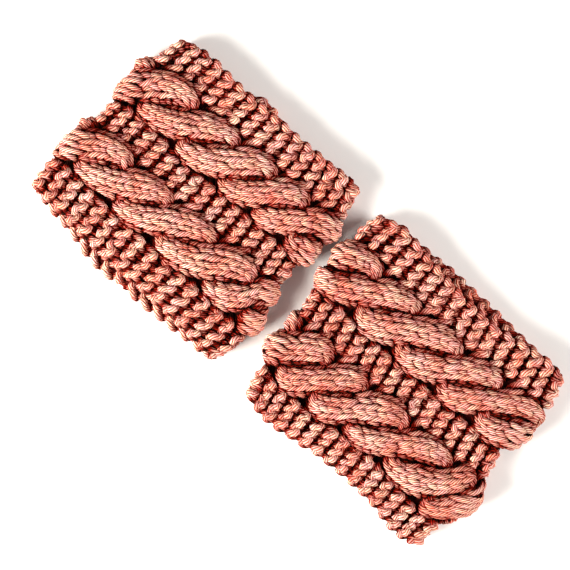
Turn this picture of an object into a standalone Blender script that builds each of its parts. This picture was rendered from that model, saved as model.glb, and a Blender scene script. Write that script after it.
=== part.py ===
"""A pair of cabled boot cuffs, pressed flat and laid side by side.

Each cuff is one strip, knitted sideways in thick wool and sewn end to end into a tube.
X runs along the two cables of the strip, Y across the strip from rim to rim, and Z is up.
A strip is one thick wall. Its outer side is raised into cables and garter ridges, its inner
side is plain, and its two ends meet at a seam in the middle of the flat underside.
All lengths are in metres.
"""

import math

import bmesh
import bpy
import numpy as np

# The wall, measured from the plane between the two layers of a flat cuff
HALF_HEIGHT = 0.0074        # plane to the outer face, at the garter bands
HALF_GAP = 0.0002           # plane to the inner face, where the layers lie on each other
FOLD_RADIUS = 0.0012        # inner radius of a fold
FOLD_OPENING = 0.014        # how far from a fold the layers start to part
SEAM_GAP = 0.0003           # between the two ends of the strip

# The knitting
ROWS_ROUND = 60             # rows in the whole strip
ROWS_PER_RIDGE = 2          # one garter ridge is two rows
ROWS_PER_CROSSING = 6       # the cables cross every six rows
RIDGE_RISE = 0.0008
CABLE_RISE = 0.0052
CABLE_REACH = 0.9           # how far a strand stays in front, in crossings to each side
CABLE_TURN = 0.62           # how soon it has changed sides, in crossings

# The bands across the strip, from the low rim to the high rim: stitches, and lines of the mesh
BAND_COLUMNS = ("kind", "stitches", "lines")
BANDS = (
    ("garter", 3, 3),
    ("cable", 6, 10),
    ("garter", 3, 3),
    ("cable", 6, 10),
    ("garter", 3, 3),
)

# A rim in section: distance in from the edge, and height as a share of the wall, outer face first
RIM_SECTION = ((0.0028, 1.0), (0.0007, 0.78), (0.0, 0.45), (0.0009, 0.12), (0.0030, 0.0))
INNER_LINES = 4             # lines across the plain inner side
UPPER_STEPS = 56            # mesh steps along the upper layer
FOLD_STEPS = 6              # mesh steps round each fold
UNDER_STEPS = 8             # mesh steps along each half of the flat underside

# The middle of the pair's footprint, in the frame of the tables below; it becomes the origin
PAIR_MIDDLE = (-0.0007, -0.0021)

# Each cuff: its band widths, the place of one crossing, its folds and its rims.
# A fold is where the garter ridges turn; the cables bulge past it.
FOLD_COLUMNS = ("across", "left_fold", "right_fold")
RIM_COLUMNS = ("along", "low", "high", "under_low", "under_high")
CUFFS = {
    "left_cuff_strip": {
        "band_widths": (0.0205, 0.0310, 0.0170, 0.0320, 0.0190),
        "crossing": -0.0810,
        "folds": (
            (-0.060, -0.1470, -0.0085),
            (-0.045, -0.1482, -0.0070),
            (-0.023, -0.1472, -0.0070),
            (0.000, -0.1450, -0.0085),
            (0.025, -0.1440, -0.0092),
            (0.045, -0.1418, -0.0090),
            (0.060, -0.1395, -0.0120),
        ),
        "rims": (
            (-0.150, -0.0560, 0.0550, -0.0560, 0.0550),
            (-0.141, -0.0575, 0.0575, -0.0590, 0.0560),
            (-0.132, -0.0580, 0.0600, -0.0612, 0.0570),
            (-0.120, -0.0585, 0.0600, -0.0625, 0.0580),
            (-0.108, -0.0592, 0.0590, -0.0635, 0.0580),
            (-0.098, -0.0600, 0.0585, -0.0660, 0.0585),
            (-0.090, -0.0602, 0.0585, -0.0675, 0.0615),
            (-0.083, -0.0604, 0.0590, -0.0665, 0.0632),
            (-0.074, -0.0605, 0.0590, -0.0662, 0.0610),
            (-0.062, -0.0605, 0.0595, -0.0652, 0.0585),
            (-0.045, -0.0605, 0.0600, -0.0643, 0.0580),
            (-0.028, -0.0605, 0.0608, -0.0637, 0.0590),
            (-0.016, -0.0604, 0.0618, -0.0632, 0.0600),
            (-0.006, -0.0600, 0.0590, -0.0600, 0.0590),
        ),
    },
    "right_cuff_strip": {
        "band_widths": (0.0165, 0.0355, 0.0175, 0.0345, 0.0195),
        "crossing": 0.0910,
        "folds": (
            (-0.062, 0.0165, 0.1425),
            (-0.048, 0.0140, 0.1440),
            (-0.030, 0.0115, 0.1460),
            (-0.004, 0.0075, 0.1465),
            (0.022, 0.0048, 0.1455),
            (0.045, 0.0042, 0.1445),
            (0.060, 0.0060, 0.1405),
        ),
        "rims": (
            (0.003, -0.0600, 0.0560, -0.0600, 0.0560),
            (0.013, -0.0645, 0.0590, -0.0635, 0.0585),
            (0.022, -0.0668, 0.0605, -0.0645, 0.0625),
            (0.031, -0.0660, 0.0598, -0.0635, 0.0605),
            (0.042, -0.0650, 0.0590, -0.0625, 0.0612),
            (0.052, -0.0636, 0.0588, -0.0610, 0.0618),
            (0.062, -0.0620, 0.0576, -0.0600, 0.0617),
            (0.073, -0.0612, 0.0565, -0.0595, 0.0616),
            (0.090, -0.0610, 0.0562, -0.0595, 0.0613),
            (0.102, -0.0612, 0.0568, -0.0600, 0.0610),
            (0.112, -0.0625, 0.0580, -0.0610, 0.0606),
            (0.122, -0.0642, 0.0595, -0.0625, 0.0597),
            (0.132, -0.0652, 0.0602, -0.0635, 0.0590),
            (0.148, -0.0620, 0.0585, -0.0620, 0.0585),
        ),
    },
}

WOOL_COLOUR = (0.62, 0.20, 0.135, 1.0)


def table_column(rows, columns, name):
    """One named column of a short table, as an array."""
    return np.array([row[columns.index(name)] for row in rows], float)


def ease(x):
    """0 below 0, 1 above 1, and a smooth rise between."""
    x = np.clip(x, 0.0, 1.0)
    return x * x * (3.0 - 2.0 * x)


def knit_relief(along, across, along_crossing, row_pitch, widths):
    """Height of the knitting over the plain wall.

    Garter ridges are a cosine wave along the strip. Each lobe of a cable is a round strand that
    swings from the low side of its band to the high side while it is in front; the highest strand
    at a point is the one that shows.
    """
    edges = np.concatenate([[0.0], np.cumsum(widths)])
    ridge_pitch = ROWS_PER_RIDGE * row_pitch
    crossing_pitch = ROWS_PER_CROSSING * row_pitch
    height = np.zeros(np.broadcast(along, across).shape)
    for (kind, _, _), low, high in zip(BANDS, edges[:-1], edges[1:]):
        if kind == "garter":
            inside = ease((across - low) / 0.003 + 0.5) * ease((high - across) / 0.003 + 0.5)
            wave = np.cos(2.0 * math.pi * (along - along_crossing) / ridge_pitch)
            height = height + RIDGE_RISE * wave * inside
            continue
        middle, width = (low + high) / 2.0, high - low
        strands = np.zeros_like(height)
        first = math.floor((along.min() - along_crossing) / crossing_pitch) - 1
        last = math.ceil((along.max() - along_crossing) / crossing_pitch) + 1
        for number in range(first, last + 1):
            turn = (along - along_crossing) / crossing_pitch - number
            swing = np.sin(math.pi / 2.0 * np.clip(turn / CABLE_TURN, -1.0, 1.0))
            off_axis = (across - middle - 0.235 * width * swing) / (0.275 * width)
            lift = CABLE_RISE * np.clip(1.0 - (turn / CABLE_REACH) ** 4, 0.0, 1.0)
            strands = np.maximum(strands, lift * np.sqrt(np.clip(1.0 - off_axis ** 2, 0.0, 1.0)))
        height = height + strands
    return height


def stations_round(flat):
    """The stations of the mesh round one cuff, from the seam to the seam.

    For each: how far along the flat stretch it stands (0 left, 1 right), the angle at which its
    section points outward, and its distance along the strip. The strip's zero is the left end of
    the upper layer's flat stretch, and `flat` is the length of that stretch.
    """
    fold_path = (HALF_HEIGHT + FOLD_RADIUS) / 2.0
    seam = SEAM_GAP / 2.0 / flat
    stations = []
    for share in np.linspace(0.5 - seam, 0.0, UNDER_STEPS + 1)[:-1]:
        stations.append((share, -90.0, -math.pi * fold_path - share * flat))
    for turn in np.linspace(0.0, 180.0, FOLD_STEPS + 1)[:-1]:
        stations.append((0.0, 270.0 - turn, math.radians(turn - 180.0) * fold_path))
    for share in np.linspace(0.0, 1.0, UPPER_STEPS + 1)[:-1]:
        stations.append((share, 90.0, share * flat))
    for turn in np.linspace(0.0, 180.0, FOLD_STEPS + 1)[:-1]:
        stations.append((1.0, 90.0 - turn, flat + math.radians(turn) * fold_path))
    for share in np.linspace(1.0, 0.5 + seam, UNDER_STEPS + 1):
        stations.append((share, -90.0, flat + math.pi * fold_path + (1.0 - share) * flat))
    return np.array(stations)


def section_lines(widths):
    """The lines of the mesh round one section of the strip, as (outer share, rim, across) rows.

    Across is the distance from the low rim, measured on a strip of full width; the outer share is
    1 on the outer face and 0 on the inner one.
    """
    edges = np.concatenate([[0.0], np.cumsum(widths)])
    full = edges[-1]
    outer = []
    for (_, _, count), low, high in zip(BANDS, edges[:-1], edges[1:]):
        outer += list(np.linspace(low, high, count + 1)[:-1])
    outer = [value for value in outer if value > 1.5 * RIM_SECTION[0][0]]
    lines = [(height, inset) for inset, height in reversed(RIM_SECTION)]
    lines += [(1.0, value) for value in outer]
    lines += [(height, full - inset) for inset, height in RIM_SECTION]
    inner = np.linspace(full, 0.0, INNER_LINES + 2)[1:-1]
    lines += [(0.0, value) for value in inner]
    return np.array(lines)


def strip_points(cuff):
    """The points of one strip's wall, as an array of stations by section lines."""
    widths = np.array(cuff["band_widths"])
    full = widths.sum()
    folds, rims = cuff["folds"], cuff["rims"]
    fold_across = table_column(folds, FOLD_COLUMNS, "across")
    fold_left = table_column(folds, FOLD_COLUMNS, "left_fold")
    fold_right = table_column(folds, FOLD_COLUMNS, "right_fold")
    rim_along = table_column(rims, RIM_COLUMNS, "along")

    # Lengths along the strip are taken on its middle line
    middle_left = np.interp(0.0, fold_across, fold_left)
    middle_right = np.interp(0.0, fold_across, fold_right)
    flat = middle_right - middle_left - 2.0 * HALF_HEIGHT
    fold_path = (HALF_HEIGHT + FOLD_RADIUS) / 2.0
    row_pitch = 2.0 * (flat + math.pi * fold_path) / ROWS_ROUND
    along_crossing = cuff["crossing"] - middle_left - HALF_HEIGHT

    share, angle, along = stations_round(flat).T
    outer_share, across = section_lines(widths).T
    share, angle, along = (v[:, None] for v in (share, np.radians(angle), along))
    outer_share, across = outer_share[None, :], across[None, :]

    # Across the strip: each layer has its own rims, and they agree at the folds
    x_middle = middle_left + HALF_HEIGHT + share * flat + HALF_HEIGHT * np.cos(angle)
    upper = (np.sin(angle) + 1.0) / 2.0
    low, high = 0.0, 0.0
    for name, weight in (("low", upper), ("under_low", 1.0 - upper)):
        low = low + weight * np.interp(x_middle, rim_along, table_column(rims, RIM_COLUMNS, name))
    for name, weight in (("high", upper), ("under_high", 1.0 - upper)):
        high = high + weight * np.interp(x_middle, rim_along, table_column(rims, RIM_COLUMNS, name))
    y = low + (high - low) * across / full

    # Along the strip: the fold lines slant and curve a little across it
    left = np.interp(y, fold_across, fold_left) + HALF_HEIGHT
    right = np.interp(y, fold_across, fold_right) - HALF_HEIGHT
    x_core = left + share * (right - left)

    # Outward: the inner face, the plain wall and, off the underside, the relief of the knitting
    from_fold = np.minimum(share, 1.0 - share) * flat
    inner = HALF_GAP + (FOLD_RADIUS - HALF_GAP) * (1.0 - ease(from_fold / FOLD_OPENING))
    on_show = ease((np.sin(angle) + 0.95) / 0.9)
    relief = knit_relief(along, across, along_crossing, row_pitch, widths) * on_show
    reach = inner + (HALF_HEIGHT + relief - inner) * outer_share
    points = np.empty(y.shape + (3,))
    points[..., 0] = x_core + reach * np.cos(angle)
    points[..., 1] = y
    points[..., 2] = HALF_HEIGHT + reach * np.sin(angle)

    # The two ends at the seam stand square to the strip
    seam_x = (points[0, :, 0].mean() + points[-1, :, 0].mean()) / 2.0
    points[0, :, 0] = seam_x - SEAM_GAP / 2.0
    points[-1, :, 0] = seam_x + SEAM_GAP / 2.0
    points[..., :2] -= PAIR_MIDDLE
    return points


def build_strip(name, cuff):
    """One cuff as a closed wall, with a face at each end of the strip."""
    points = strip_points(cuff)
    stations, lines = points.shape[:2]
    mesh = bmesh.new()
    grid = [[mesh.verts.new(point) for point in section] for section in points]
    for station in range(stations - 1):
        for line in range(lines):
            following = (line + 1) % lines
            mesh.faces.new((grid[station][line], grid[station][following],
                            grid[station + 1][following], grid[station + 1][line]))
    mesh.faces.new(grid[0])
    mesh.faces.new(reversed(grid[-1]))
    bmesh.ops.recalc_face_normals(mesh, faces=mesh.faces)
    bmesh.ops.triangulate(mesh, faces=mesh.faces)
    data = bpy.data.meshes.new(name)
    mesh.to_mesh(data)
    mesh.free()
    data.shade_smooth()

    material = bpy.data.materials.new(name + "_wool")
    material.use_nodes = True
    surface = material.node_tree.nodes["Principled BSDF"]
    surface.inputs["Base Color"].default_value = WOOL_COLOUR
    surface.inputs["Roughness"].default_value = 0.95
    surface.inputs["Metallic"].default_value = 0.0
    data.materials.append(material)
    strip = bpy.data.objects.new(name, data)
    bpy.context.scene.collection.objects.link(strip)
    return strip


for old in list(bpy.data.objects):
    bpy.data.objects.remove(old, do_unlink=True)
for cuff_name, cuff_sizes in CUFFS.items():
    build_strip(cuff_name, cuff_sizes)
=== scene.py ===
"""A pair of cabled boot cuffs, pressed flat and laid side by side on a white table.

Each cuff is knitted from one thick plied yarn: every stitch of the strip is a loop of that yarn.
X runs along the cables, round the leg, Y across the strip from rim to rim, and Z is up.
"""

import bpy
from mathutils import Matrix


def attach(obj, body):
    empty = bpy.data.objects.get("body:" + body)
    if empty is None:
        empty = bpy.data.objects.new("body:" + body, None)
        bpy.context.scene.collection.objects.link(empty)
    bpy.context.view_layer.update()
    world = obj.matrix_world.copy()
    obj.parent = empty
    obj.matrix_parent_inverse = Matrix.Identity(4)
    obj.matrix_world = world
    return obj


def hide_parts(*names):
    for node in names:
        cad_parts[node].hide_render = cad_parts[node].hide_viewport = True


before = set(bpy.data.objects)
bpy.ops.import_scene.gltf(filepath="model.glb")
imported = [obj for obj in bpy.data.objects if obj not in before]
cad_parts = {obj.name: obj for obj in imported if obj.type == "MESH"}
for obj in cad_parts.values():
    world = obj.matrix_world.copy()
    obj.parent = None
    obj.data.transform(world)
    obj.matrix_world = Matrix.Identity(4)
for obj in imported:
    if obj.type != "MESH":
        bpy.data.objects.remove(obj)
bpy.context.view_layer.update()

import math
from collections import namedtuple

import bpy
import numpy as np

# The knitted strip of each cuff: one thick yarn of coral wool in eight plies, which goes to and fro
# across the strip, a row each way, in loops drawn through the row before. The strip is folded round
# into a flat tube, which lies on its lower layer, and its two ends are sewn together underneath.
PAIR_MIDDLE = (-0.0007, -0.0021)    # of the pair's footprint, among the places in the tables
HALF_HEIGHT = 0.0074        # from the plane between the two layers to the outside of a garter band
FOLD_SPREAD = 0.0021        # how much further out the knitting stands at the folds
FOLD_CROWDING = (0.75, 0.0080)      # how many more rows lie at a fold, and how far from it
FOLD_PLACES = 600           # at which the crowding is worked out, on each length of the strip
ROWS_ROUND = 64
ROWS_PER_CROSSING = 6
STITCHES = 21
STRAND_STITCHES = 3         # in each of the two strands of a cable
BANDS = (                   # from the low rim up: kind, stitches, and the column of its lobes
    ("garter", 3, None),
    ("cable", 6, "low_cable"),
    ("garter", 3, None),
    ("cable", 6, "high_cable"),
    ("garter", 3, None),
)

# The outline of each flat tube as it lies: where its folds are at each place across, and its rims
# at each place along, for the upper layer and for the one under it. All in metres.
FOLD_COLUMNS = ("across", "left_fold", "right_fold")
RIM_COLUMNS = ("along", "low", "high", "under_low", "under_high")
LOBE_COLUMNS = ("low_cable", "high_cable")      # the middles of the lobes that show
CUFFS = {
    "left_cuff": {
        "node": "left_cuff_strip",
        "band_widths": (0.0205, 0.0310, 0.0170, 0.0320, 0.0190),
        "crossing": -0.0810,
        "seed": 3,
        "lobes": (
            (-0.1380, -0.1370),
            (-0.1090, -0.1060),
            (-0.0800, -0.0750),
            (-0.0470, -0.0500),
            (-0.0200, -0.0270),
            (0.0040, 0.0000),
        ),
        "folds": (
            (-0.060, -0.1470, -0.0085),
            (-0.045, -0.1485, -0.0045),
            (-0.036, -0.1490, -0.0058),
            (-0.025, -0.1460, -0.0075),
            (-0.014, -0.1478, -0.0092),
            (0.000, -0.1450, -0.0096),
            (0.010, -0.1455, -0.0108),
            (0.021, -0.1428, -0.0090),
            (0.031, -0.1470, -0.0078),
            (0.045, -0.1418, -0.0090),
            (0.060, -0.1395, -0.0120),
        ),
        "rims": (
            (-0.150, -0.0560, 0.0550, -0.0560, 0.0550),
            (-0.141, -0.0565, 0.0575, -0.0580, 0.0560),
            (-0.132, -0.0570, 0.0600, -0.0600, 0.0570),
            (-0.120, -0.0577, 0.0600, -0.0613, 0.0580),
            (-0.108, -0.0592, 0.0590, -0.0635, 0.0580),
            (-0.098, -0.0592, 0.0585, -0.0660, 0.0585),
            (-0.090, -0.0590, 0.0585, -0.0672, 0.0615),
            (-0.083, -0.0590, 0.0590, -0.0668, 0.0632),
            (-0.074, -0.0590, 0.0590, -0.0664, 0.0610),
            (-0.062, -0.0590, 0.0595, -0.0655, 0.0585),
            (-0.045, -0.0592, 0.0600, -0.0645, 0.0580),
            (-0.028, -0.0605, 0.0608, -0.0637, 0.0590),
            (-0.016, -0.0604, 0.0618, -0.0632, 0.0600),
            (-0.006, -0.0600, 0.0590, -0.0600, 0.0590),
        ),
    },
    "right_cuff": {
        "node": "right_cuff_strip",
        "band_widths": (0.0165, 0.0355, 0.0175, 0.0345, 0.0195),
        "crossing": 0.0910,
        "seed": 8,
        "lobes": (
            (0.0140, 0.0030),
            (0.0385, 0.0315),
            (0.0630, 0.0600),
            (0.0925, 0.0910),
            (0.1255, 0.1180),
            (0.1500, 0.1430),
        ),
        "folds": (
            (-0.062, 0.0165, 0.1425),
            (-0.048, 0.0140, 0.1440),
            (-0.038, 0.0095, 0.1460),
            (-0.030, 0.0112, 0.1468),
            (-0.023, 0.0112, 0.1495),
            (-0.012, 0.0088, 0.1466),
            (0.003, 0.0062, 0.1430),
            (0.017, 0.0034, 0.1424),
            (0.033, 0.0056, 0.1474),
            (0.045, 0.0042, 0.1445),
            (0.060, 0.0060, 0.1405),
        ),
        "rims": (
            (0.003, -0.0600, 0.0560, -0.0600, 0.0560),
            (0.013, -0.0645, 0.0590, -0.0635, 0.0585),
            (0.022, -0.0668, 0.0605, -0.0645, 0.0625),
            (0.031, -0.0660, 0.0598, -0.0635, 0.0605),
            (0.042, -0.0650, 0.0580, -0.0625, 0.0612),
            (0.052, -0.0636, 0.0572, -0.0610, 0.0618),
            (0.062, -0.0620, 0.0560, -0.0600, 0.0617),
            (0.073, -0.0612, 0.0550, -0.0595, 0.0616),
            (0.090, -0.0610, 0.0548, -0.0595, 0.0613),
            (0.102, -0.0612, 0.0556, -0.0600, 0.0610),
            (0.112, -0.0625, 0.0572, -0.0610, 0.0606),
            (0.122, -0.0642, 0.0595, -0.0625, 0.0597),
            (0.132, -0.0652, 0.0602, -0.0635, 0.0590),
            (0.148, -0.0620, 0.0585, -0.0620, 0.0585),
        ),
    },
}

Strip = namedtuple("Strip", "flat row_pitch start crossing first")


def table_column(rows, columns, name):
    """One named column of a short table, as an array."""
    return np.array([row[columns.index(name)] for row in rows], float)


def ease(x):
    """0 below 0, 1 above 1, and a smooth rise between."""
    x = np.clip(x, 0.0, 1.0)
    return x * x * (3.0 - 2.0 * x)


def fold_crowding(flat, start):
    """Places round a tube, and how far along the strip the knitting that lies there is.

    The strip bends round a fold on its inner face, so its rows lie closer there. Their density is
    1 plus a bell curve of the distance from the middle of the nearest fold, and how far along the
    strip a place lies is the sum of that density, scaled to the length of the whole strip. The
    places cover the strip, and as much again before it and after it.
    """
    fold = math.pi * HALF_HEIGHT / 2.0
    length = 2.0 * (flat + fold)
    places = np.linspace(start - length, start + 2.0 * length, 3 * FOLD_PLACES + 1)
    from_fold = (places + fold / 2.0 + length / 4.0) % (length / 2.0) - length / 4.0
    more, reach = FOLD_CROWDING
    knitted = np.cumsum(1.0 + more * np.exp(-(from_fold / reach) ** 2))
    first, last = knitted[FOLD_PLACES], knitted[2 * FOLD_PLACES]
    return places, (knitted - first) * length / (last - first) + start


def strip_lengths(cuff):
    """A cuff's flat stretch on its middle line, its row pitch, and where it starts and crosses.

    Distances along the strip are 0 at the left end of the upper layer's flat stretch, whose X is
    first. The layers' middles are half a wall from the plane between them, and the folds are half
    circles of that radius. The strip starts at the seam, in the middle of the underside.
    """
    across = table_column(cuff["folds"], FOLD_COLUMNS, "across")
    left = np.interp(0.0, across, table_column(cuff["folds"], FOLD_COLUMNS, "left_fold"))
    right = np.interp(0.0, across, table_column(cuff["folds"], FOLD_COLUMNS, "right_fold"))
    flat = right - left - 2.0 * HALF_HEIGHT
    fold = math.pi * HALF_HEIGHT / 2.0
    row_pitch = 2.0 * (flat + fold) / ROWS_ROUND
    start = -fold - flat / 2.0
    crossing = np.interp(cuff["crossing"] - left - HALF_HEIGHT, *fold_crowding(flat, start))
    crossing = round((crossing - start) / row_pitch) * row_pitch + start
    return Strip(flat, row_pitch, start, crossing, left + HALF_HEIGHT)


def on_cuff(cuff, along, across, out):
    """Points of the flattened tube, from places on its cloth, and the outward direction there.

    Along is the distance round the tube, across the share of the way from the low rim to the high
    one, and out the height over the middle of the cloth. The section is two straight layers joined
    by half circles. Its ends follow the fold table at each height across, and the rims the rim
    table, with the upper layer's columns above and the under layer's below.
    """
    strip = strip_lengths(cuff)
    flat = strip.flat
    radius = HALF_HEIGHT / 2.0
    fold = math.pi * radius
    along = (along - strip.start) % (2.0 * (flat + fold)) + strip.start
    right_turn = np.clip((along - flat) / radius, 0.0, math.pi)
    left_turn = np.clip(-along / radius, 0.0, math.pi)
    share = np.where(along > flat + fold, 2.0 - (along - fold) / flat, along / flat)
    share = np.where(along < -fold, (-fold - along) / flat, share).clip(0.0, 1.0)
    angle = math.pi / 2.0 - right_turn + left_turn
    x_middle = strip.first + share * flat + HALF_HEIGHT * np.cos(angle)
    upper = (np.sin(angle) + 1.0) / 2.0
    rims = cuff["rims"]
    stations = table_column(rims, RIM_COLUMNS, "along")
    edges = {name: np.interp(x_middle, stations, table_column(rims, RIM_COLUMNS, name))
             for name in RIM_COLUMNS[1:]}
    low = upper * edges["low"] + (1.0 - upper) * edges["under_low"]
    high = upper * edges["high"] + (1.0 - upper) * edges["under_high"]
    y = low + (high - low) * across
    fold_across = table_column(cuff["folds"], FOLD_COLUMNS, "across")
    left = np.interp(y, fold_across, table_column(cuff["folds"], FOLD_COLUMNS, "left_fold"))
    right = np.interp(y, fold_across, table_column(cuff["folds"], FOLD_COLUMNS, "right_fold"))
    left, right = left + HALF_HEIGHT, right - HALF_HEIGHT
    outward = np.stack([np.cos(angle), np.zeros_like(angle), np.sin(angle)], -1)
    points = np.stack([left + share * (right - left), y, np.full_like(y, HALF_HEIGHT)], -1)
    points = points + (radius + out + FOLD_SPREAD * np.cos(angle) ** 2)[..., None] * outward
    points[..., :2] -= PAIR_MIDDLE
    return points, outward


# The stitches. Garter bands are knitted in ridges, two rows to each. In the cables two strands of
# three stitches swing round each other, and every six rows the low one crosses in front.
STITCH_SAMPLES = 24
LOOPS = {                   # half height and slant in rows, swell in stitches, the rest in metres
    "garter": {"height": 0.88, "swell": 0.14, "slant": -0.19, "depth": 0.0028, "radius": 0.00205},
    "cable": {"height": 1.12, "swell": 0.26, "slant": 0.00, "depth": 0.0024, "radius": 0.00170},
}
FACE_SWING = (0.65, 0.35)   # of a garter loop from face to face: its even part and its sharper part
RIDGE_RISE = 0.0012
MIDDLE_SINK = 0.0008        # how much lower the garter band between the two cables lies
STRAND_WIDTH = (0.0098, 0.0086)     # of a strand at its ends, and how much more at a crossing
STRAND_INSET = 0.0058               # from a band's edge to a strand's middle, where it turns back
STRAND_LIFT = (-0.0034, 0.0084)     # of a strand behind, and how much more in front
STRAND_DOME = 0.0050                # how much lower a strand's edges lie than its middle
STRAND_LEAN = 0.6                   # how far rows turn with their strand
STRAND_FRONT = 0.76                 # how long a strand is in front, in crossings to each side
LOBE_SLACK = (0.0006, 0.06)         # how much a lobe's height and width vary
LOBE_PHASES = (2.4, 2000.0)         # of the slack, for each lobe and for each metre of a band's width
GROUP_BLEND = 0.3                   # stitches in which yarn passes from one group to the next
CABLE_SPREAD = 0.0026               # how much further out cables stand at the folds than garter bands
FOLD_RISE = 0.4                     # of a lobe where it bends round a fold, as a share of its rise
FOLD_FACING = 0.7                   # how far the cloth faces up where a lobe has its whole rise
ON_SHOW = (-0.55, 0.10)             # how far the cloth faces up, from where it is pressed to free
PRESSED = 0.0017                    # how far loops stand out where they are pressed on the table
PRESSED_LOBE = 0.4                  # of a lobe's relief where it is pressed, as a share of it
LINK_SAG = 0.5                      # how far a link sinks, as a share of the gap it spans
INSIDE = (-0.0022, 0.85)            # height below which yarn stays flat, and how firmly it does
UNEVEN = (0.03, 0.06, 0.0003)       # of a stitch, in stitches across, rows along and metres out
ROW_WANDER = 0.0004                 # how far rows stray, for each of the slow waves
WANDER_LOW = (0.10, 0.5, 0.0)       # least angle of a slow wave for each row and stitch, and at its start
WANDER_HIGH = (0.35, 2.0, 6.3)      # and the most, all in radians
WANDER_WAVES = 4
SELVEDGE_POINTS = 5                 # where the yarn turns back at a rim
SELVEDGE_BULGE = 0.0008
YARN_SMOOTHING = (0.1, 0.22, 0.36, 0.22, 0.1)

# Where each thing that a path holds for its points is among their numbers
PLACE, OUTWARD, ON_STRIP = slice(0, 3), slice(3, 6), slice(6, 8)
OUT, RADIUS, NUMBERS = 8, 9, 10


def loop_points(loop, along_sign, next_sign, turn):
    """One stitch as shares of its size, from foot to foot, as the turn goes from 0 to one circle.

    Across: even progress plus a double wave, which swells the head and the feet. Along: minus a
    cosine, low at the feet and high at the head, and a double wave that slants both. Out: where
    this row and the next are drawn the same way, the feet and the head lie behind and the legs in
    front; where they are drawn opposite ways, the feet lie on one face and the head on the other.
    """
    across = turn / (2.0 * math.pi) + loop["swell"] * np.sin(2.0 * turn)
    along = -loop["height"] * np.cos(turn) - loop["slant"] * np.sin(2.0 * turn)
    same = -along_sign * np.cos(2.0 * turn)
    even, sharp = FACE_SWING
    opposite = -along_sign * (even * np.cos(turn) + sharp * np.cos(3.0 * turn))
    out = loop["depth"] * np.where(along_sign == next_sign, same, opposite)
    return across, along, out


def lobe_drift(cuff, along, column):
    """How far a cable's lobes lie from an even spacing, at distances along the strip.

    It runs evenly from each lobe that shows to the next, and fades out on the underside.
    """
    strip = strip_lengths(cuff)
    span = ROWS_PER_CROSSING * strip.row_pitch
    lobes = table_column(cuff["lobes"], LOBE_COLUMNS, column) - strip.first
    lobes = np.interp(lobes, *fold_crowding(strip.flat, strip.start))
    drift = lobes - strip.crossing - span * np.round((lobes - strip.crossing) / span)
    lobes = np.concatenate([[lobes[0] - span], lobes, [lobes[-1] + span]])
    return np.interp(along, lobes, np.concatenate([[0.0], drift, [0.0]]))


def strand_place(cuff, along, row_along, column, half_width, second):
    """Sideways place, slope, rise and width of the strand that is low, or second, in each row.

    The two strands of a cable wind round each other. The one in front goes slowly from the low
    side to the high one, as a quarter sine to each side of its crossing, and then quickly back
    behind the other. It is highest where it crosses, and it dives at its ends.
    """
    strip = strip_lengths(cuff)
    crossing = strip.crossing
    span = ROWS_PER_CROSSING * strip.row_pitch
    along = along - lobe_drift(cuff, along, column)
    row_along = row_along - lobe_drift(cuff, row_along, column)
    number = np.round((row_along - crossing) / span)
    before = (row_along - crossing) / span < number
    # Crossings gone since this strand was in front: it is there again after two
    gone = (along - crossing) / span - number + np.where(before != second, 0.0, 1.0)
    gone = (gone + 1.0) % 2.0 - 1.0
    behind = np.abs(gone) > STRAND_FRONT
    from_back = gone - np.sign(gone)
    quarter = np.where(behind, -from_back / (1.0 - STRAND_FRONT), gone / STRAND_FRONT)
    swing = half_width - STRAND_INSET
    sideways = swing * np.sin(math.pi / 2.0 * quarter)
    slope = swing * math.pi / 2.0 / (STRAND_FRONT * span) * np.cos(math.pi / 2.0 * quarter)
    slope = np.where(behind, -slope, slope)
    rise = STRAND_LIFT[0] + STRAND_LIFT[1] * (1.0 - gone ** 4)
    width = STRAND_WIDTH[0] + STRAND_WIDTH[1] * np.cos(math.pi / 2.0 * gone)
    # No two lobes are pulled equally tight
    lobe = np.round((along - crossing) / span - gone)
    slack = np.sin(LOBE_PHASES[0] * lobe + half_width * LOBE_PHASES[1])
    return sideways, slope, rise + LOBE_SLACK[0] * slack, width * (1.0 + LOBE_SLACK[1] * slack)


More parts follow.
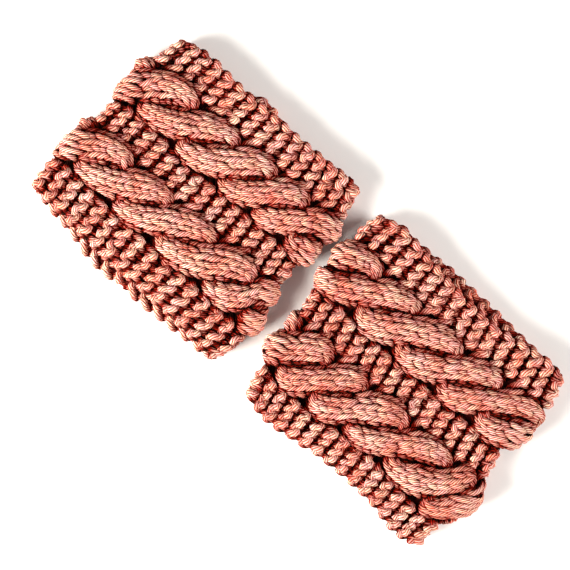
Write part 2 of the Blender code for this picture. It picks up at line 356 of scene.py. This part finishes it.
def knit_path(cuff):
    """The path of the yarn through a whole strip, with ten numbers for each point of it.

    They are its place, the outward direction, its distances along the strip, across it and out
    from the middle of the cloth, and its radius. Every stitch of every row is worked out at once,
    on a grid of rows, stitches and turns. Each group of stitches (a garter band, or one strand of
    a cable) carries its loops on its own surface. Where two groups meet the yarn passes evenly
    from one to the other, and sinks by a share of how far their places differ. The inside is kept
    nearly flat.
    """
    strip = strip_lengths(cuff)
    row_pitch = strip.row_pitch
    widths = np.array(cuff["band_widths"])
    full = widths.sum()
    rows = np.arange(ROWS_ROUND)[:, None, None]
    stitch = np.arange(STITCHES)[None, :, None]
    turn = np.linspace(0.0, 2.0 * math.pi, STITCH_SAMPLES, endpoint=False)[None, None, :]
    random = np.random.default_rng(cuff["seed"])
    uneven = random.normal(0.0, 1.0, (3, 3, ROWS_ROUND, STITCHES, 1))
    uneven = uneven[0] + uneven[1] * np.sin(turn) + uneven[2] * np.cos(turn)
    row_along = strip.start + (rows + 0.5) * row_pitch

    kinds = sum(([kind] * count for kind, count, column in BANDS), [])
    is_cable = np.array([kind == "cable" for kind in kinds])[None, :, None]
    sign = np.where(rows % 2 == 0, 1.0, -1.0)
    crossing_row = round((strip.crossing - strip.start) / row_pitch)
    sign = sign * (1.0 if crossing_row % 2 else -1.0)
    g_across, g_along, g_out = loop_points(LOOPS["garter"], sign, -sign, turn)
    c_across, c_along, c_out = loop_points(LOOPS["cable"], 1.0, 1.0, turn)
    across = stitch + np.where(is_cable, c_across, g_across) + UNEVEN[0] * uneven[0]
    along = row_along + row_pitch * (np.where(is_cable, c_along, g_along) + UNEVEN[1] * uneven[1])
    out = np.where(is_cable, c_out, g_out) + UNEVEN[2] * uneven[2]
    waves = random.uniform(WANDER_LOW, WANDER_HIGH, (WANDER_WAVES, 3))
    wander = sum(np.sin(rows * a + stitch * b + c) for a, b, c in waves)
    along = along + ROW_WANDER * wander

    places, knitted = fold_crowding(strip.flat, strip.start)
    facing_up = on_cuff(cuff, np.interp(along, knitted, places), across / STITCHES, out)[1][..., 2]
    on_show = ease((facing_up - ON_SHOW[0]) / (ON_SHOW[1] - ON_SHOW[0]))
    round_fold = FOLD_RISE + (1.0 - FOLD_RISE) * ease(facing_up / FOLD_FACING)

    path = np.zeros(across.shape + (NUMBERS,))
    square_sum, weight_sum = np.zeros(across.shape), np.zeros(across.shape)
    stitch_edge, edge = 0, 0.0
    for (kind, count, column), width in zip(BANDS, widths):
        groups = ((0, count, None),)
        if kind == "cable":
            groups = ((0, STRAND_STITCHES, False), (STRAND_STITCHES, count, True))
        for low, high, second in groups:
            into = across - stitch_edge - low
            weight = (np.clip(into / GROUP_BLEND + 0.5, 0.0, 1.0)
                      * np.clip((high - low - into) / GROUP_BLEND + 0.5, 0.0, 1.0))
            if kind == "garter":
                between_cables = 0 < stitch_edge < STITCHES - count
                ridge = np.cos(math.pi * (along - strip.crossing) / row_pitch)
                group_along = along
                group_across = edge + into * width / count
                group_out = out + RIDGE_RISE * ridge - MIDDLE_SINK * between_cables * on_show
            else:
                sideways, slope, rise, strand_width = strand_place(
                    cuff, along, row_along, column, width / 2.0, second)
                from_axis = into / STRAND_STITCHES - 0.5
                lean = STRAND_LEAN * np.arctan(slope)
                group_along = along - from_axis * strand_width * np.sin(lean)
                group_across = edge + width / 2.0 + sideways + from_axis * strand_width * np.cos(lean)
                rise = rise - STRAND_DOME * (2.0 * from_axis) ** 2
                pressed = PRESSED_LOBE * (rise - STRAND_LIFT[0] - STRAND_LIFT[1])
                rise = np.minimum(rise, rise * round_fold)
                group_out = out + on_show * rise + (1.0 - on_show) * pressed
                group_out = group_out + CABLE_SPREAD * (1.0 - facing_up ** 2)
            flattened = np.minimum(group_out, PRESSED * np.tanh(group_out / PRESSED))
            group_out = on_show * group_out + (1.0 - on_show) * flattened
            group_along = np.interp(group_along, knitted, places)
            points, outward = on_cuff(cuff, group_along, group_across / full, group_out)
            on_strip = (group_along, group_across, group_out, LOOPS[kind]["radius"])
            on_strip = np.stack([np.broadcast_to(each, across.shape) for each in on_strip], -1)
            path += weight[..., None] * np.concatenate([points, outward, on_strip], -1)
            square_sum += weight * (points ** 2).sum(-1)
            weight_sum += weight
        stitch_edge += count
        edge += width
    path /= weight_sum[..., None]
    apart = np.sqrt(np.maximum(square_sum / weight_sum - (path[..., PLACE] ** 2).sum(-1), 0.0))
    path[..., PLACE] -= 2.0 * LINK_SAG * apart[..., None] * path[..., OUTWARD]
    path[..., OUT] -= 2.0 * LINK_SAG * apart
    under = np.minimum(path[..., OUT, None] - INSIDE[0], 0.0)
    path[..., PLACE] -= INSIDE[1] * under * path[..., OUTWARD]
    path = path.reshape(ROWS_ROUND, -1, NUMBERS)

    # Every other row is knitted back, and the yarn turns at the rims
    path[1::2] = path[1::2, ::-1]
    follow = np.roll(path[:, 0], -1, axis=0)
    follow[-1] = path[-1, -1]
    share = np.linspace(0.0, 1.0, SELVEDGE_POINTS + 2)[None, 1:-1, None]
    turns = path[:, -1:] * (1.0 - share) + follow[:, None] * share
    side = np.where(np.arange(ROWS_ROUND) % 2 == 0, 1.0, -1.0)[:, None]
    turns[..., 1] += SELVEDGE_BULGE * 4.0 * (share * (1.0 - share))[..., 0] * side
    path = np.concatenate([path, turns], axis=1).reshape(-1, NUMBERS)
    path[2:-2] = np.stack([np.convolve(column, YARN_SMOOTHING, "valid") for column in path.T], -1)
    # The table holds the underside up
    path[:, 2] = np.maximum(path[:, 2], path[:, RADIUS])
    return path


def even_steps(path, step):
    """The path with its points a fixed distance apart."""
    gone = np.concatenate([[0.0], np.cumsum(np.linalg.norm(np.diff(path[:, PLACE], axis=0), axis=1))])
    at = np.linspace(0.0, gone[-1], int(gone[-1] / step) + 1)
    return np.stack([np.interp(at, gone, column) for column in path.T], -1)


def depth_under(path, cell=0.001, spread=2, smoothing=5):
    """How far down each point of the yarn lies, under the outside of the cloth and under the inside.

    The highest point in each small cell of the strip is spread to the cells around it and then
    smoothed. The depth is that height less the point's own. The same is done from the inside. The
    wool's shade is painted from these depths.
    """
    i, j = np.floor((path[:, ON_STRIP] - path[:, ON_STRIP].min(axis=0)) / cell).astype(int).T
    spread, smoothing = range(-spread, spread + 1), range(-smoothing, smoothing + 1)
    depths = []
    for height in (path[:, OUT], -path[:, OUT]):
        top = np.full((i.max() + 1, j.max() + 1), height.min())
        np.maximum.at(top, (i, j), height)
        for axis in (0, 1):
            top = np.maximum.reduce([np.roll(top, step, axis) for step in spread])
        for axis in (0, 1):
            top = np.mean([np.roll(top, step, axis) for step in smoothing], axis=0)
        depths.append(top[i, j] - height)
    return np.stack(depths, -1)


# The mesh of the yarn: a round tube, in rings of a few corners along its path. It is cut into three
# pieces a cuff, end to end, because one mesh of it all would be too large.
PIECES_PER_CUFF = 3
CORNERS = 8                 # of a ring
RING_STEP = 0.00150         # between rings
CROWDING_SHADE = 0.0055           # painted shade, as extra depth, where more yarn presses close
CROWDING_OVER = 0.0008      # how far over the yarn's surface that is read
LANE_WIDTH = 0.0125         # of one length of yarn in the bake's map, a little over its girth
LANE_MARGIN = 0.04          # of a lane's width, left free at each side


def yarn_density(path, cell=0.0006, margin=10):
    """How much yarn lies about each place, in a grid of cells: 1 on the middle of a lone yarn.

    The points of a path are counted in cells, and smoothed three times along each axis, after
    which a lone yarn keeps 7/27 of its count in each of the two directions across it. The result
    is a function that reads the grid at any places, evenly between its cells.
    """
    step = RING_STEP / 4.0
    fine = even_steps(path, step)
    low = fine[:, PLACE].min(axis=0) - margin * cell
    place = np.floor((fine[:, PLACE] - low) / cell).astype(int)
    grid = np.zeros(place.max(axis=0) + margin + 2)
    np.add.at(grid, tuple(place.T), 1.0)
    for axis in (0, 1, 2) * 3:
        grid = (np.roll(grid, 1, axis) + grid + np.roll(grid, -1, axis)) / 3.0
    grid /= cell / step * (7.0 / 27.0) ** 2

    def read(places):
        at = (places - low) / cell - 0.5
        whole = np.floor(at).astype(int)
        part = at - whole
        total = 0.0
        for corner in np.ndindex(2, 2, 2):
            share = np.prod(np.where(corner, part, 1.0 - part), axis=-1)
            where = np.clip(whole + corner, 0, np.array(grid.shape) - 1)
            total = total + share * grid[tuple(np.moveaxis(where, -1, 0))]
        return total

    return read


def yarn_mesh(name, path, depth, density, first_ring):
    """Yarn as a round tube along the path: each ring is a circle round its point, square to it.

    Its points carry the depth of their painted shade, and its faces their turn and distance on the
    yarn. The map for the bake is the tube cut into even lengths, laid side by side.
    """
    path, outward, radius = path[:, PLACE], path[:, OUTWARD], path[:, RADIUS, None]
    along = np.gradient(path, axis=0)
    along /= np.linalg.norm(along, axis=1, keepdims=True)
    side = np.cross(along, outward)
    side /= np.linalg.norm(side, axis=1, keepdims=True)
    up = np.cross(side, along)
    rings = len(path)
    angle = 2.0 * math.pi * (np.arange(CORNERS)[None, :] + 0.5) / CORNERS
    reach = radius * np.ones_like(angle)
    points = (path[:, None, :] + (reach * np.cos(angle))[..., None] * side[:, None, :]
              + (reach * np.sin(angle))[..., None] * up[:, None, :])
    ring = np.arange(rings - 1)[:, None]
    corner = np.arange(CORNERS)[None, :]
    following = (corner + 1) % CORNERS
    quads = np.stack([ring * CORNERS + corner, ring * CORNERS + following,
                      (ring + 1) * CORNERS + following, (ring + 1) * CORNERS + corner], -1)
    caps = [list(range(CORNERS))[::-1], list((rings - 1) * CORNERS + np.arange(CORNERS))]
    mesh = bpy.data.meshes.new(name)
    mesh.from_pydata(points.reshape(-1, 3), [], quads.reshape(-1, 4).tolist() + caps)
    mesh.shade_smooth()
    # Painted shade: how far down each point lies, under the outside or the inside by the way it faces,
    # and more where other yarn crowds it
    facing = ease(np.sin(angle) + 0.5)
    painted_shade_depth = facing * depth[:, :1] + (1.0 - facing) * depth[:, 1:]
    normals = np.cos(angle)[..., None] * side[:, None, :] + np.sin(angle)[..., None] * up[:, None, :]
    painted_shade_depth = painted_shade_depth + CROWDING_SHADE * density(points + CROWDING_OVER * normals)
    painted_shade_depth = painted_shade_depth.ravel().astype(np.float32)
    mesh.attributes.new("painted_shade_depth", "FLOAT", "POINT").data.foreach_set("value", painted_shade_depth)

    # Where each corner of each face is on the yarn: turns round it, and metres along it
    turns = np.stack([corner, corner + 1, corner + 1, corner], -1) / CORNERS
    metres = np.stack([ring, ring, ring + 1, ring + 1], -1) * RING_STEP
    on_yarn = np.stack(np.broadcast_arrays(turns, metres + first_ring * RING_STEP), -1).reshape(-1, 2)
    lane_rings = math.ceil(math.sqrt(rings * LANE_WIDTH / RING_STEP))
    lane = ring // lane_rings
    side_length = max(lane_rings * RING_STEP, (lane.max() + 1) * LANE_WIDTH)
    in_lane = (LANE_MARGIN + (1.0 - 2.0 * LANE_MARGIN) * turns) * LANE_WIDTH
    across_lane = lane[..., None] * LANE_WIDTH + in_lane
    along_lane = metres - lane[..., None] * lane_rings * RING_STEP
    laid = np.stack(np.broadcast_arrays(across_lane, along_lane), -1).reshape(-1, 2) / side_length
    for label, flat in (("OFBake", laid), ("yarn", on_yarn)):
        flat = np.concatenate([flat, np.repeat(flat[:1], 2 * CORNERS, axis=0)])
        mesh.uv_layers.new(name=label).data.foreach_set("uv", flat.ravel().astype(np.float32))
    piece = bpy.data.objects.new(name, mesh)
    bpy.context.scene.collection.objects.link(piece)
    return piece


class Shade:
    """A socket of a material's nodes, with arithmetic."""

    def __init__(self, tree, socket):
        self.tree, self.socket = tree, socket

    def node(self, kind, inputs, output=0, **settings):
        """The output of a new node, with its settings, and values or sockets for its inputs."""
        node = self.tree.nodes.new(kind)
        for name, value in settings.items():
            setattr(node, name, value)
        for name, value in inputs.items():
            if isinstance(value, Shade):
                self.tree.links.new(value.socket, node.inputs[name])
            else:
                node.inputs[name].default_value = value
        return Shade(self.tree, node.outputs[output])

    def maths(self, operation, other=0.0, flipped=False, clamp=False):
        """Arithmetic between this value and another, or the other and this one if flipped."""
        pair = {0: other, 1: self} if flipped else {0: self, 1: other}
        return self.node("ShaderNodeMath", pair, operation=operation, use_clamp=clamp)

    def __add__(self, other):
        return self.maths("ADD", other)

    def __sub__(self, other):
        return self.maths("SUBTRACT", other)

    def __mul__(self, other):
        return self.maths("MULTIPLY", other)

    def __truediv__(self, other):
        return self.maths("DIVIDE", other)

    def __rsub__(self, other):
        return self.maths("SUBTRACT", other, flipped=True)

    def __rtruediv__(self, other):
        return self.maths("DIVIDE", other, flipped=True)

    __radd__, __rmul__ = __add__, __mul__

    def between(self, low, high):
        """0 at or below one value and 1 at or above another, even between them."""
        return (self - low).maths("MULTIPLY", 1.0 / (high - low), clamp=True)

    def blend(self, low, high):
        """From one colour to another as this value goes from 0 to 1."""
        return self.node("ShaderNodeMix", {0: self, 6: low, 7: high}, 2, data_type="RGBA")


# The wool's looks
PLIES = 8
PLY_TURN = 0.0170                   # length of yarn in one turn of its plies
# Painted shade for the deepest pits and for the depths of the knitting, the wool's own colour, and
# painted highlights for the plies' crests
PIT_SHADE_COLOUR = (0.006, 0.0004, 0.0004, 1.0)
SHADE_COLOUR = (0.24, 0.005, 0.001, 1.0)
WOOL_COLOUR = (0.60, 0.075, 0.031, 1.0)
PINK_HIGHLIGHT = (0.80, 0.53, 0.50, 1.0)
CREAM_HIGHLIGHT = (0.80, 0.67, 0.50, 1.0)
WOOL_FINISH = {                     # matt, with the faint sheen of its down
    "Roughness": 0.85,
    "Specular IOR Level": 0.01,
    "Sheen Weight": 0.05,
    "Sheen Roughness": 0.5,
    "Sheen Tint": (1.0, 0.35, 0.22, 1.0),
}
FIBRE_STREAKS = (2.5, 240.0)        # across a ply, and in each metre along it
PATCH_SCALE, DYE_SCALE = 90.0, 220.0
HIGHLIGHT_NOISE = (1.3, 1.2)            # how far fibres and patches shift the painted highlight on a ply
HIGHLIGHT_RANGE = (0.25, 1.25)          # of that sum, from the wool's colour to the painted highlight's
PINK_TO_CREAM = (0.38, 0.62)        # of the dye's noise
GROOVE_SHADE_DEPTH, FIBRE_DEPTH = 0.0027, 0.0035      # painted shade in the grooves between plies, and how far the fibres move the painted shade
SHADE_DEPTHS = (0.0002, 0.0032)     # where the colour goes over to the shade's
PIT_SHADE_DEPTHS = (0.0029, 0.0047)      # and then to the painted shade of the deepest pits
FIBRE_RELIEF = 0.3                  # of the fibres, as a share of the plies' relief
PLY_BUMP = {"Strength": 0.9, "Distance": 0.0005}


def wool_material(name):
    """Plied wool: a painted highlight on the plies' crests, painted shade between plies and in the
    depths of the knitting, with fine streaks along the fibres.

    A ply's section is the absolute of a sine round the yarn, turned evenly along it.
    """
    wool = bpy.data.materials.new(name)
    wool.use_nodes = True
    surface = wool.node_tree.nodes["Principled BSDF"]
    start = Shade(wool.node_tree, None)
    painted_shade_depth = start.node("ShaderNodeAttribute", {}, "Fac", attribute_name="painted_shade_depth")
    on_yarn = start.node("ShaderNodeUVMap", {}, uv_map="yarn")
    turns = start.node("ShaderNodeSeparateXYZ", {0: on_yarn}, "X")
    metres = start.node("ShaderNodeSeparateXYZ", {0: on_yarn}, "Y")
    ply = (turns - metres / PLY_TURN) * PLIES
    strands = (ply * math.pi).maths("SINE").maths("ABSOLUTE")
    fibre_place = {0: ply * FIBRE_STREAKS[0], 1: metres * FIBRE_STREAKS[1]}
    fibre_place = start.node("ShaderNodeCombineXYZ", fibre_place)
    object_place = start.node("ShaderNodeTexCoord", {}, "Object")

    def noise(place, scale, detail):
        return start.node("ShaderNodeTexNoise", {"Vector": place, "Scale": scale, "Detail": detail})

    fibres = noise(fibre_place, scale=1.0, detail=3.0)
    patches = noise(object_place, scale=PATCH_SCALE, detail=2.0)
    dye = noise(object_place, scale=DYE_SCALE, detail=3.0)
    # Painted highlight on the plies' crests, and painted shade in the grooves between plies and in the
    # depths
    ply_highlight = strands + HIGHLIGHT_NOISE[0] * (fibres - 0.5) + HIGHLIGHT_NOISE[1] * (patches - 0.5)
    groove_shade = GROOVE_SHADE_DEPTH * (1.0 - strands) * (1.0 - strands)
    shade_depth_sum = painted_shade_depth + groove_shade + FIBRE_DEPTH * (fibres - 0.5)
    ply_highlight_colour = dye.between(*PINK_TO_CREAM).blend(PINK_HIGHLIGHT, CREAM_HIGHLIGHT)
    colour = ply_highlight.between(*HIGHLIGHT_RANGE).blend(WOOL_COLOUR, ply_highlight_colour)
    colour = shade_depth_sum.between(*SHADE_DEPTHS).blend(colour, SHADE_COLOUR)
    colour = shade_depth_sum.between(*PIT_SHADE_DEPTHS).blend(colour, PIT_SHADE_COLOUR)
    height = fibres * FIBRE_RELIEF + strands
    bump = start.node("ShaderNodeBump", {"Height": height, **PLY_BUMP})
    wool.node_tree.links.new(colour.socket, surface.inputs["Base Color"])
    wool.node_tree.links.new(bump.socket, surface.inputs["Normal"])
    for socket, value in WOOL_FINISH.items():
        surface.inputs[socket].default_value = value
    return wool


wool = wool_material("coral_wool")
for cuff_name, cuff in CUFFS.items():
    path = even_steps(knit_path(cuff), RING_STEP)
    depth = depth_under(path)
    density = yarn_density(path)
    cuts = np.linspace(0, len(path) - 1, PIECES_PER_CUFF + 1).astype(int)
    for number, (low, high) in enumerate(zip(cuts[:-1], cuts[1:]), 1):
        stretch = slice(low, high + 1)
        piece = yarn_mesh(f"{cuff_name}_yarn_{number}", path[stretch], depth[stretch], density, low)
        piece.data.materials.append(wool)
        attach(piece, "root")
        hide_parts(cuff["node"])

# The seam of each cuff: the strip's two ends are drawn together in the middle of the underside and
# oversewn with the tail of the same yarn, untwisted to half its plies. Each stitch of it goes down
# through one end and up through the other, so it holds both.
SEAM_RADIUS = 0.0011
SEAM_STITCHES = 20
SEAM_SAMPLES = 40                   # of each stitch
SEAM_REACH = (0.0034, 0.0034)       # of a stitch, to each side of the join and out of the cloth
SEAM_SINK = 0.0008                  # of the middle of its stitches, into the cloth
SEAM_ENDS = (0.03, 0.97)            # as shares of the way from rim to rim
SEAM_WANDER = (0.002, 3.1)          # how far stitches stray, and how slowly
for cuff_name, cuff in CUFFS.items():
    turn = np.linspace(0.0, 2.0 * math.pi * SEAM_STITCHES, SEAM_SAMPLES * SEAM_STITCHES)
    along = strip_lengths(cuff).start + SEAM_REACH[0] * np.cos(turn)
    across = np.linspace(*SEAM_ENDS, len(turn)) + SEAM_WANDER[0] * np.sin(turn / SEAM_WANDER[1])
    out = SEAM_REACH[1] * np.sin(turn) - SEAM_SINK
    points, outward = on_cuff(cuff, along, across, out)
    on_strip = np.stack([along, across, out], -1)
    seam = np.concatenate([points, outward, on_strip, np.full((len(turn), 1), SEAM_RADIUS)], -1)
    seam = even_steps(seam, RING_STEP)
    piece = yarn_mesh(f"{cuff_name}_seam", seam, np.zeros((len(seam), 2)), yarn_density(seam), 0)
    piece.data.materials.append(wool)
    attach(piece, "root")
    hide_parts(cuff["node"])

# A dark sheet in each cuff, painted shade: a closed tube in the middle of the knitting, which shows
# through the gaps between the stitches where shade falls. Its ends stop inside the outermost
# stitches of the rims.
SHADE_SHEET_STEPS = (140, 32)
SHADE_SHEET_OUT = (-0.0014, -0.0008)     # of its two faces, from the middle of the cloth
SHADE_SHEET_INSET = 0.022                # of the width of the cloth, at each rim
# The sheet's colour is painted shade, mottled at random between a darker and a paler red
SHADE_SHEET_DARK, SHADE_SHEET_PALE = (0.016, 0.001, 0.001, 1.0), (0.07, 0.006, 0.005, 1.0)
SHADE_SHEET_FINISH = {"Roughness": 0.95, "Specular IOR Level": 0.05}
MOTTLE_SCALE = 600.0
MOTTLE_RANGE = (0.3, 0.7)             # of the mottle's noise, from the darker painted shade to the paler


def shade_sheet_mesh(name, cuff):
    """A closed tube between two heights in the cloth, the same way out all round as the knitting."""
    strip = strip_lengths(cuff)
    round_steps, across_steps = SHADE_SHEET_STEPS
    along = strip.start + np.arange(round_steps)[:, None] * ROWS_ROUND * strip.row_pitch / round_steps
    across = np.linspace(SHADE_SHEET_INSET, 1.0 - SHADE_SHEET_INSET, across_steps)[None, :]
    along, across = np.broadcast_arrays(along, across)
    inner, outer = (on_cuff(cuff, along, across, np.full(along.shape, out))[0] for out in SHADE_SHEET_OUT)
    loop = np.concatenate([outer, inner[:, ::-1]], axis=1)
    count = loop.shape[1]
    i, j = np.arange(round_steps)[:, None], np.arange(count)[None, :]
    i_next, j_next = (i + 1) % round_steps, (j + 1) % count
    quads = [i * count + j, i * count + j_next, i_next * count + j_next, i_next * count + j]
    mesh = bpy.data.meshes.new(name)
    mesh.from_pydata(loop.reshape(-1, 3), [], np.stack(quads, -1).reshape(-1, 4).tolist())
    mesh.shade_smooth()
    shell = bpy.data.objects.new(name, mesh)
    bpy.context.scene.collection.objects.link(shell)
    return shell


# The sheets' material: painted shade, mottled at random
shade_sheet_material = bpy.data.materials.new("shaded_wool")
shade_sheet_material.use_nodes = True
shade_sheet_surface = shade_sheet_material.node_tree.nodes["Principled BSDF"]
shade_sheet_start = Shade(shade_sheet_material.node_tree, None)
shade_sheet_place = shade_sheet_start.node("ShaderNodeTexCoord", {}, "Object")
mottle_noise = {"Vector": shade_sheet_place, "Scale": MOTTLE_SCALE, "Detail": 3.0}
mottle = shade_sheet_start.node("ShaderNodeTexNoise", mottle_noise)
shade_sheet_colour = mottle.between(*MOTTLE_RANGE).blend(SHADE_SHEET_DARK, SHADE_SHEET_PALE)
shade_sheet_material.node_tree.links.new(shade_sheet_colour.socket, shade_sheet_surface.inputs["Base Color"])
for socket, value in SHADE_SHEET_FINISH.items():
    shade_sheet_surface.inputs[socket].default_value = value
for cuff_name, cuff in CUFFS.items():
    shell = shade_sheet_mesh(f"{cuff_name}_shade_sheet", cuff)
    shell.data.materials.append(shade_sheet_material)
    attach(shell, "root")
    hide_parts(cuff["node"])
    names = [f"{cuff_name}_yarn_{number}" for number in range(1, PIECES_PER_CUFF + 1)]
    names.append(f"{cuff_name}_seam")
    round_length = ROWS_ROUND * strip_lengths(cuff).row_pitch

# The table: a plain white painted board, far wider than the pair, which lies on it by its weight.
# It is not part of the object.
TABLE_HALF = 2.0                    # from the middle of the pair to the table's edge
TABLE_PAINT = {"Base Color": (0.92, 0.92, 0.92, 1.0), "Roughness": 0.9}
corners = [(x * TABLE_HALF, y * TABLE_HALF, 0) for x, y in ((-1, -1), (1, -1), (1, 1), (-1, 1))]
table_mesh = bpy.data.meshes.new("table")
table_mesh.from_pydata(corners, [], [(0, 1, 2, 3)])
table = bpy.data.objects.new("table", table_mesh)
bpy.context.scene.collection.objects.link(table)
paint = bpy.data.materials.new("white_table")
paint.use_nodes = True
for socket, value in TABLE_PAINT.items():
    paint.node_tree.nodes["Principled BSDF"].inputs[socket].default_value = value
table_mesh.materials.append(paint)

# The camera hangs over the pair and looks straight down. It is turned so that the cables run down
# to the right in the picture.
ROLL = math.radians(42.0)
VIEW_CENTRE = (-0.0066, -0.0034)
VIEW_WIDTH = 0.3135                 # of what the picture shows, at the level of the cloth
LEVEL = 0.012
CAMERA_HEIGHT = 1.1
SENSOR_WIDTH = 36.0
camera = bpy.data.objects.new("camera", bpy.data.cameras.new("camera"))
bpy.context.scene.collection.objects.link(camera)
camera.location = (*VIEW_CENTRE, CAMERA_HEIGHT)
camera.rotation_euler = (0.0, 0.0, ROLL)
camera.data.sensor_width = SENSOR_WIDTH
camera.data.lens = SENSOR_WIDTH * (CAMERA_HEIGHT - LEVEL) / VIEW_WIDTH
bpy.context.scene.camera = camera

# The light: a large low lamp beside the low rims, which throws soft shadows past the high rims and
# the right folds, a wider one that stands further off at the opposite corner, and a dim warm room.
ROOM_COLOUR, ROOM_LIGHT = (1.0, 0.96, 0.93, 1.0), 0.26


def soft_light(name, place, size, power, colour):
    """A square studio light at a place, facing the pair."""
    light = bpy.data.lights.new(name, "AREA")
    light.shape = "SQUARE"
    light.size, light.energy, light.color = size, power, colour
    lamp = bpy.data.objects.new(name, light)
    bpy.context.scene.collection.objects.link(lamp)
    lamp.location = place
    direction = -np.array(place) / np.linalg.norm(place)
    pitch = math.acos(-direction[2])
    lamp.rotation_euler = (pitch, 0.0, math.atan2(-direction[0], direction[1]))


soft_light("key_light", (-0.55, -1.08, 0.60), size=0.80, power=68.0, colour=(1.0, 0.95, 0.87))
soft_light("fill_light", (1.50, 1.15, 0.85), size=1.2, power=62.0, colour=(1.0, 0.95, 0.90))
world = bpy.data.worlds.new("studio")
world.use_nodes = True
world.node_tree.nodes["Background"].inputs["Color"].default_value = ROOM_COLOUR
world.node_tree.nodes["Background"].inputs["Strength"].default_value = ROOM_LIGHT
bpy.context.scene.world = world
bpy.context.scene.view_settings.view_transform = "Standard"
